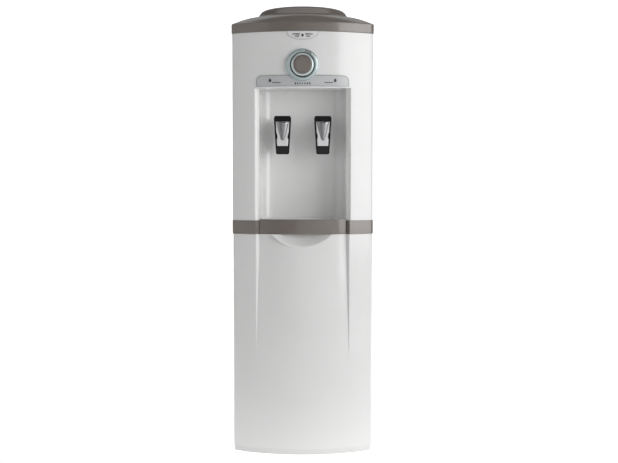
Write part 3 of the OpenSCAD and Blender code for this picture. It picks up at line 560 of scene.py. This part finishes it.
def dial():
    """Bright bezel ring, bevelled knob and a slightly domed centre disc."""
    bezel_low, bezel_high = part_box("dial_bezel")
    rim_y, outer = bezel_low.y, bezel_high.x
    hole = 25 * MM
    seat = FRONT_Y + 4 * MM
    round_r, round_y = 1.6, 1.8
    bezel = [(outer, seat), (outer, rim_y + 2.2 * MM)]
    bezel += offsets(outer, rim_y, [(round_r * (1 - math.cos(a)), 0.4 + round_y * (1 - math.sin(a)))
                                    for a in np.linspace(0.2, math.pi / 2, 6)])
    bezel += offsets(outer, rim_y, [(2.4, 0.75), (2.9, 0.25), (4.4, 0)])
    bezel += offsets(hole, rim_y, [(-1.8, 0.1), (-1.2, 0.5), (-0.4, 1.5), (0, 2.6)])
    bezel += [(hole, seat)]
    verts, faces = disc_on_y(bezel, 0, DIAL_Z, 128)
    obj = piece("bezel_ring", verts, faces, "root", "bezel_metal",
                mats=[MATERIALS["bezel_metal"], EXTRA["bezel_face"]], replaces=["dial_bezel"])
    # The ring's flat face has a paler finish than its edges.
    for face in obj.data.polygons:
        r = math.hypot(face.center.x, face.center.z - DIAL_Z)
        if hole + 1.5 * MM < r < outer - 2.4 * MM:
            face.material_index = 1

    knob_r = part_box("thermostat_knob")[1].x + 0.3 * MM
    face_y0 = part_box("knob_cap")[0].y
    back = FRONT_Y - 2.6 * MM
    rim_r = 20.2 * MM
    knob = [(0, back), (knob_r - 0.6 * MM, back), (knob_r, back - 0.6 * MM)]
    knob += offsets(knob_r, face_y0, [(0, 4.2), (0.15, 3.3), (0.6, 2.4)])
    knob += offsets(rim_r, face_y0, [(-0.7, 0.45), (0, 0.15), (0.5, 0.3), (0.8, 0.8), (0.9, 1.6)])
    knob += [(0, face_y0 + 1.7 * MM)]
    verts, faces = disc_on_y(knob, 0, DIAL_Z, 128)
    piece("knob_ring", verts, faces, "knob", "knob_metal", replaces=["thermostat_knob"])
    cap_r = rim_r - 1.2 * MM
    cap = [(0, face_y0 + 1.65 * MM)]
    cap += offsets(cap_r, face_y0, [(0, 1.6), (0, 0.9), (0.3, 0.5), (1, 0.22)])
    cap += [(cap_r * 0.75, face_y0 + 0.08 * MM), (cap_r * 0.4, face_y0 + 0.02 * MM), (0, face_y0)]
    verts, faces = disc_on_y(cap, 0, DIAL_Z, 96)
    piece("knob_disc", verts, faces, "knob", "cover_plastic", replaces=["knob_cap"])
    shaft_r, shaft_start, shaft_end = 3 * MM, back - 0.5 * MM, FRONT_Y + 12 * MM
    shaft = [(0, shaft_start), (shaft_r, shaft_start), (shaft_r, shaft_end), (0, shaft_end)]
    verts, faces = disc_on_y(shaft, 0, DIAL_Z, 24)
    piece("knob_spindle", verts, faces, "knob", "zinc_steel")


# ---------------------------------------------------------------- badge and control strip

def on_face(x, z, proud):
    """A point that stands proud of the upper panel's curved face."""
    return (x, face_y(x, proud), z)


def badge():
    """A plain half-oval plate with a rim, and a generic drop between two pairs of bars."""
    low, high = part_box("badge_plate")
    half, top = high.x, high.z - 0.2 * MM
    spans = 48
    roundness = 0.8

    def outline(d, proud, fall=1.0):
        """The plate's edge, d inside its outline; fall below 1 draws it up towards the top."""
        depth = (top - low.z - d) * fall
        turns = [math.pi * i / spans for i in range(spans + 1)]
        return [on_face(-(half - d) * math.cos(a), top - depth * math.sin(a) ** roundness, proud)
                for a in turns]

    # The rim's profile in mm: inwards from the outline, then proud of the panel.
    rim = [(0, 0), (0.1, 0.6), (0.35, 0.85), (0.75, 0.85), (1.0, 0.65), (1.5, 0.6)]
    rings = [outline(d * MM, p * MM) for d, p in rim]
    rings += [outline(1.5 * MM, 0.6 * MM, fall) for fall in (0.75, 0.5, 0.25, 0)]
    rings += [outline(1.5 * MM, 0, 0)]
    verts, faces = loft(rings, closed=False)
    obj = piece("badge_face", verts, faces, "root", "badge_metal",
                mats=[MATERIALS["badge_metal"], EXTRA["badge_rim"]], smooth=False,
                replaces=["badge_plate"])
    for face in obj.data.polygons[:3 * spans]:
        face.material_index = 1
    obj.modifiers.new("corners", "WELD").merge_threshold = 0.001 * MM

    # The sign's outlines in mm: a drop in the middle, then two bars on each side of it.
    sign_z = low.z + (high.z - low.z) * 0.52
    drop_half, drop_tall, drop_point = 2.6, 3.1, 0.55
    drop = [(drop_half * math.sin(a) * (1 - drop_point * max(0, math.cos(a)) ** 2), drop_tall * math.cos(a))
            for a in np.linspace(0, 2 * math.pi, 25)[:-1]]
    shapes = [[(x * MM, sign_z + z * MM) for x, z in drop]]
    for s in (-1, 1):
        for start, end, up in ((6, 21, 2.2), (7.5, 16, -2.2)):
            bar = [(start, 1.3), (end, 0.9), (end + 0.8, 0), (end, -0.9), (start, -1.3)]
            shapes.append([(s * x * MM, sign_z + (up + z) * MM) for x, z in bar])
    verts, faces = [], []
    for shape in shapes:
        base = len(verts)
        n = len(shape)
        for proud in (0.58 * MM, 0.9 * MM):
            verts += [on_face(x, z, proud) for x, z in shape]
        faces.append(tuple(range(base + n, base + 2 * n)))
        faces += [(base + i, base + (i + 1) % n, base + n + (i + 1) % n, base + n + i) for i in range(n)]
    piece("badge_sign", verts, faces, "root", "print_ink", smooth=False)


def strip_outline():
    """A fine dark line just inside the control strip's edge, broken where the bezel sits."""
    low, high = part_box("control_strip")
    margin = 0.3 * MM
    half, bottom, top = high.x - margin, low.z + margin, low.z + 23 * MM - margin
    corner_r = 11.7 * MM
    bezel_reach = 26.5 * MM
    line = 0.75 * MM
    # The line's profile: inwards from its outer edge, then proud of the panel.
    profile = [(0, 1.15 * MM), (0, 1.4 * MM), (line, 1.4 * MM), (line, 1.15 * MM)]

    def side(d):
        """From the lower left corner up, round the upper corner and along to the bezel."""
        points = [(-half + d, z) for z in np.linspace(bottom + d, top - corner_r, 6)]
        points += [(-half + corner_r - (corner_r - d) * math.cos(a),
                    top - corner_r + (corner_r - d) * math.sin(a))
                   for a in np.linspace(0, math.pi / 2, 13)[1:]]
        points += [(x, top - d) for x in np.linspace(-half + corner_r, -bezel_reach, 20)[1:]]
        return points

    left = [[on_face(x, z, proud) for x, z in side(d)] for d, proud in profile]
    right = [[(-x, y, z) for x, y, z in reversed(row)] for row in left]
    across = np.linspace(-half, half, 60)
    foot = [[on_face(x, bottom + d, proud) for x in across] for d, proud in profile]
    verts, faces = [], []
    for rows in (left, right, foot):
        v, f = loft(rows, closed=False)
        faces += [tuple(len(verts) + i for i in q) for q in f]
        verts += v
    piece("strip_outline", verts, faces, "root", "print_ink", mats=[EXTRA["fine_line"]], smooth=False)


# ---------------------------------------------------------------- taps

def lever_front(side):
    """The silver insert: a flat plate with a half-cone swelling out of it, and a clip at each side."""
    node = f"lever_insert_{side}"
    low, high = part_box(node)
    x0 = (low.x + high.x) / 2
    plate_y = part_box(f"tap_lever_{side}")[0].y + 0.4 * MM
    z0, z1 = low.z + 0.1 * MM, high.z - 0.1 * MM
    top_half, low_half = 14.4 * MM, 11.4 * MM
    tip_z = low.z + 12 * MM
    # The cone in mm, at its tip and how much more at its top: half its width, and how far it swells.
    cone_tip, cone_more = 2.6, 10.4
    swell_tip, swell_more = 1.0, 5.4
    # Its tip is round over the first part of its height, and its top closes over the last part.
    thinnest, round_part, shoulder, closing = 0.2, 0.08, 0.9, 0.96
    # Columns: a flank on either side, and the cone between them.
    rows, flank, swell_cols = 64, 6, 32
    sweep = np.sin(np.linspace(-math.pi / 2, math.pi / 2, swell_cols + 1))
    grid, on_cone = [], []
    for j in range(rows + 1):
        z = z0 + (z1 - z0) * j / rows
        half = low_half + (top_half - low_half) * (z - z0) / (z1 - z0)
        up = max(0.0, (z - tip_z) / (z1 - tip_z))
        tip = math.sqrt(min(1.0, up / round_part))
        cone = max(thinnest, (cone_tip + cone_more * up) * tip) * MM
        over = max(0.0, (up - shoulder) / (1 - shoulder))
        swell = (swell_tip + swell_more * up) * MM * math.sqrt(1 - closing * over * over) if up > 0 else 0.0
        xs = [*np.linspace(-half, -cone, flank + 1)[:-1], *(cone * sweep),
              *np.linspace(cone, half, flank + 1)[1:]]
        grid.append([(x0 + x, plate_y - swell * math.sqrt(1 - min(1.0, abs(x) / cone) ** 2), z)
                     for x in xs])
        if j < rows:
            on_cone += [up > 0 and flank <= i < flank + swell_cols for i in range(len(xs) - 1)]
    verts, faces = loft(grid, closed=False)
    faces = [tuple(reversed(f)) for f in faces]
    obj = piece(f"insert_plate_{side}", verts, faces, f"lever_{side}", "insert_metal",
                mats=[MATERIALS["insert_metal"], EXTRA["insert_satin"]], replaces=[node])
    for face, conical in zip(obj.data.polygons, on_cone):
        face.material_index = 0 if conical else 1
    thicken(obj, 1 * MM)
    lever_clips(side, x0, plate_y, low.z + 20 * MM, low_half + 1.7 * MM)


def lever_clips(side, x0, plate_y, z0, reach):
    """Two black wedges that hold the insert's edges: a raised face and a skirt round it."""
    profile = [(0, -8), (-1.6, -5), (-2.4, 0), (-1.6, 5), (0, 9)]
    n = len(profile)
    verts, faces = [], []
    for s in (-1, 1):
        base = len(verts)
        for behind, scale in ((-1.0, 1.0), (-1.5, 0.7), (0.6, 1.0)):
            verts += [(x0 + s * reach + s * x * scale * MM, plate_y + behind * MM, z0 + z * scale * MM)
                      for x, z in profile]
        faces.append(tuple(base + n + i for i in range(n)))
        for i in range(n):
            k = (i + 1) % n
            faces.append((base + i, base + k, base + n + k, base + n + i))
            faces.append((base + i, base + k, base + 2 * n + k, base + 2 * n + i))
    piece(f"insert_clips_{side}", verts, faces, f"lever_{side}", "black_plastic", smooth=False)


# ---------------------------------------------------------------- tap springs

def tap_spring(side):
    """A conical coil of round wire that narrows towards its top."""
    node = f"tap_spring_{side}"
    low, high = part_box(node)
    x0, y0 = (low.x + high.x) / 2, (low.y + high.y) / 2
    wire, turns, steps, sides = 0.55 * MM, 3.5, 110, 8
    wide, tall = (high.x - low.x) / 2 - wire, high.z - low.z - 2 * wire
    taper = 0.9 * MM
    rings = []
    for i in range(steps + 1):
        t = i / steps
        turn = 2 * math.pi * turns * t
        r, z = wide - taper * t, low.z + wire + tall * t
        rings.append([(x0 + (r + wire * math.cos(a)) * math.cos(turn),
                       y0 + (r + wire * math.cos(a)) * math.sin(turn), z + wire * math.sin(a))
                      for a in np.arange(sides) / sides * 2 * math.pi])
    verts, faces = loft(rings)
    faces += [tuple(range(sides)), tuple(reversed(range(len(verts) - sides, len(verts))))]
    coil = piece(f"spring_coil_{side}", verts, faces, "root", "spring_steel", replaces=[node])
    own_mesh(coil)


# ---------------------------------------------------------------- rear screws

# Where the screws sit on the rear panel: x, z.
SCREWS = [(x * MM, z * MM) for x in (-143, 143) for z in (60, 320, 560, 870)]


def screw_heads():
    """Pan heads with a cross recess, one mesh for all of the rear screws."""
    steps = 32
    arm, half_slot = 1.9 * MM, 0.42 * MM
    slot_top, slot_floor = 1.7 * MM, 0.5 * MM
    profile = [(3.9 * MM, -0.2 * MM), (3.9 * MM, 0.5 * MM), (3.6 * MM, 1.1 * MM),
               (2.9 * MM, 1.6 * MM), (2.3 * MM, 1.75 * MM)]
    turns = [2 * math.pi * i / steps for i in range(steps)]

    def cross(angle):
        """How far the recess's edge is from its middle in a direction: an arm's end, side or root."""
        along = max(abs(math.cos(angle)), abs(math.sin(angle)))
        aside = min(abs(math.cos(angle)), abs(math.sin(angle)))
        if aside * arm <= half_slot * along:
            return arm / along
        return half_slot / aside

    verts, faces = [], []
    for x, z in SCREWS:
        rings = [[(x + r * math.cos(a), BACK_Y + y, z + r * math.sin(a)) for a in turns]
                 for r, y in profile]
        for scale, y in ((1.0, slot_top), (0.9, slot_floor)):
            rings.append([(x + scale * cross(a) * math.cos(a), BACK_Y + y,
                           z + scale * cross(a) * math.sin(a)) for a in turns])
        v, f = loft(rings)
        v.append((x, BACK_Y + slot_floor, z))
        last = len(v) - 1 - steps
        f += [(last + i, last + (i + 1) % steps, len(v) - 1) for i in range(steps)]
        faces += [tuple(len(verts) + i for i in q) for q in f]
        verts += v
    piece("screw_heads", verts, faces, "root", "zinc_steel", smooth=False, replaces=["rear_screws"])


# ---------------------------------------------------------------- studio

# Strength of the even white light from the world.
WORLD = 0.12
PAPER = (0.9, 0.9, 0.9)
# The paper's own glow: its strength, and where it starts and is full, along Y and away from X = 0.
GLOW = 0.8
GLOW_FADE_Y, GLOW_FADE_X = (-0.9, 0.2), (3.4, 2.3)
# The backdrop's radius, the radius of its bend and the height of its wall, in metres.
SWEEP_R, SWEEP_BEND, SWEEP_TOP = 5.5, 1.2, 2.5
# Every light faces this height on the object's axis.
LIT_Z = 0.55
# Name, degrees to the right of the front, distance, height, width and length in metres, radiance.
LIGHTS = [("key", 51, 2.8, 1.2, 1.9, 2.0, 3.4), ("fill", -62, 2.8, 1.2, 3.2, 2.4, 0.45),
          ("front", 12, 3.2, 0.7, 2.0, 1.4, 0.55), ("top", 0, 0.2, 3.1, 3.4, 1.6, 0.7),
          ("back", 180, 3.2, 3.2, 3.0, 1.4, 0.4)]


def paper():
    """Matt white paper with a soft glow of its own behind the object, fading to the front and sides."""
    m = Nodes("paper", PAPER, 0.9)
    m.shader.inputs["Emission Color"].default_value = (1, 1, 1, 1)
    m.vary_rough(m.noise(3, 2), 0.85, 0.95)
    split = m.tree.nodes.new("ShaderNodeSeparateXYZ")
    m.link(m.coord.outputs["Object"], split.inputs["Vector"])

    def fade(value, start, end, top):
        """A smooth rise from 0 at start to top at end."""
        node = m.tree.nodes.new("ShaderNodeMapRange")
        node.interpolation_type = "SMOOTHSTEP"
        node.inputs["From Min"].default_value = start
        node.inputs["From Max"].default_value = end
        node.inputs["To Max"].default_value = top
        m.link(value, node.inputs["Value"])
        return node.outputs["Result"]

    across = m.tree.nodes.new("ShaderNodeMath")
    across.operation = "ABSOLUTE"
    m.link(split.outputs["X"], across.inputs[0])
    glow = m.tree.nodes.new("ShaderNodeMath")
    glow.operation = "MULTIPLY"
    m.link(fade(split.outputs["Y"], *GLOW_FADE_Y, GLOW), glow.inputs[0])
    m.link(fade(across.outputs[0], *GLOW_FADE_X, 1), glow.inputs[1])
    m.link(glow.outputs[0], m.shader.inputs["Emission Strength"])
    return m.mat


def backdrop():
    """A round floor that bends up into a low wall all round."""
    rows = [(r, 0.0) for r in (0.02, 1.0, 2.5, SWEEP_R - SWEEP_BEND)]
    rows += [(SWEEP_R - SWEEP_BEND * (1 - math.sin(a)), SWEEP_BEND * (1 - math.cos(a)))
             for a in np.linspace(0, math.pi / 2, 13)[1:]]
    rows += [(SWEEP_R, SWEEP_TOP)]
    turns = np.linspace(0, 2 * math.pi, 97)[:-1]
    verts, faces = loft([[(r * math.sin(t), r * math.cos(t), z) for t in turns] for r, z in rows])
    faces.append(tuple(range(len(turns))))
    mesh = bpy.data.meshes.new("sweep")
    mesh.from_pydata(verts, [], faces)
    mesh.polygons.foreach_set("use_smooth", [True] * len(faces))
    mesh.materials.append(paper())
    floor = bpy.data.objects.new("sweep", mesh)
    bpy.context.scene.collection.objects.link(floor)


def soft_box(name, azimuth, distance, height, width, length, radiance):
    """A rectangular light of the given radiance."""
    a = math.radians(azimuth)
    light = bpy.data.lights.new(name, "AREA")
    light.shape = "RECTANGLE"
    light.size = width
    light.size_y = length
    light.energy = radiance * math.pi * width * length
    obj = bpy.data.objects.new(name, light)
    obj.location = (distance * math.sin(a), -distance * math.cos(a), height)
    bpy.context.scene.collection.objects.link(obj)
    aim(obj, (0, 0, LIT_Z))


def studio():
    """Pale backdrop, a large soft light on the right, weaker ones round the object and a dim world."""
    backdrop()
    for light in LIGHTS:
        soft_box(*light)
    world = bpy.data.worlds.new("studio")
    bpy.context.scene.world = world
    world.use_nodes = True
    world.node_tree.nodes["Background"].inputs["Color"].default_value = (1, 1, 1, 1)
    world.node_tree.nodes["Background"].inputs["Strength"].default_value = WORLD
    bpy.context.scene.view_settings.view_transform = "Standard"


make_camera()
dress_nodes()
top_cover()
niche()
dial()
badge()
strip_outline()
for side in ("left", "right"):
    lever_front(side)
    tap_spring(side)
screw_heads()
for node, width in EDGES.items():
    soften(node, width)
studio()
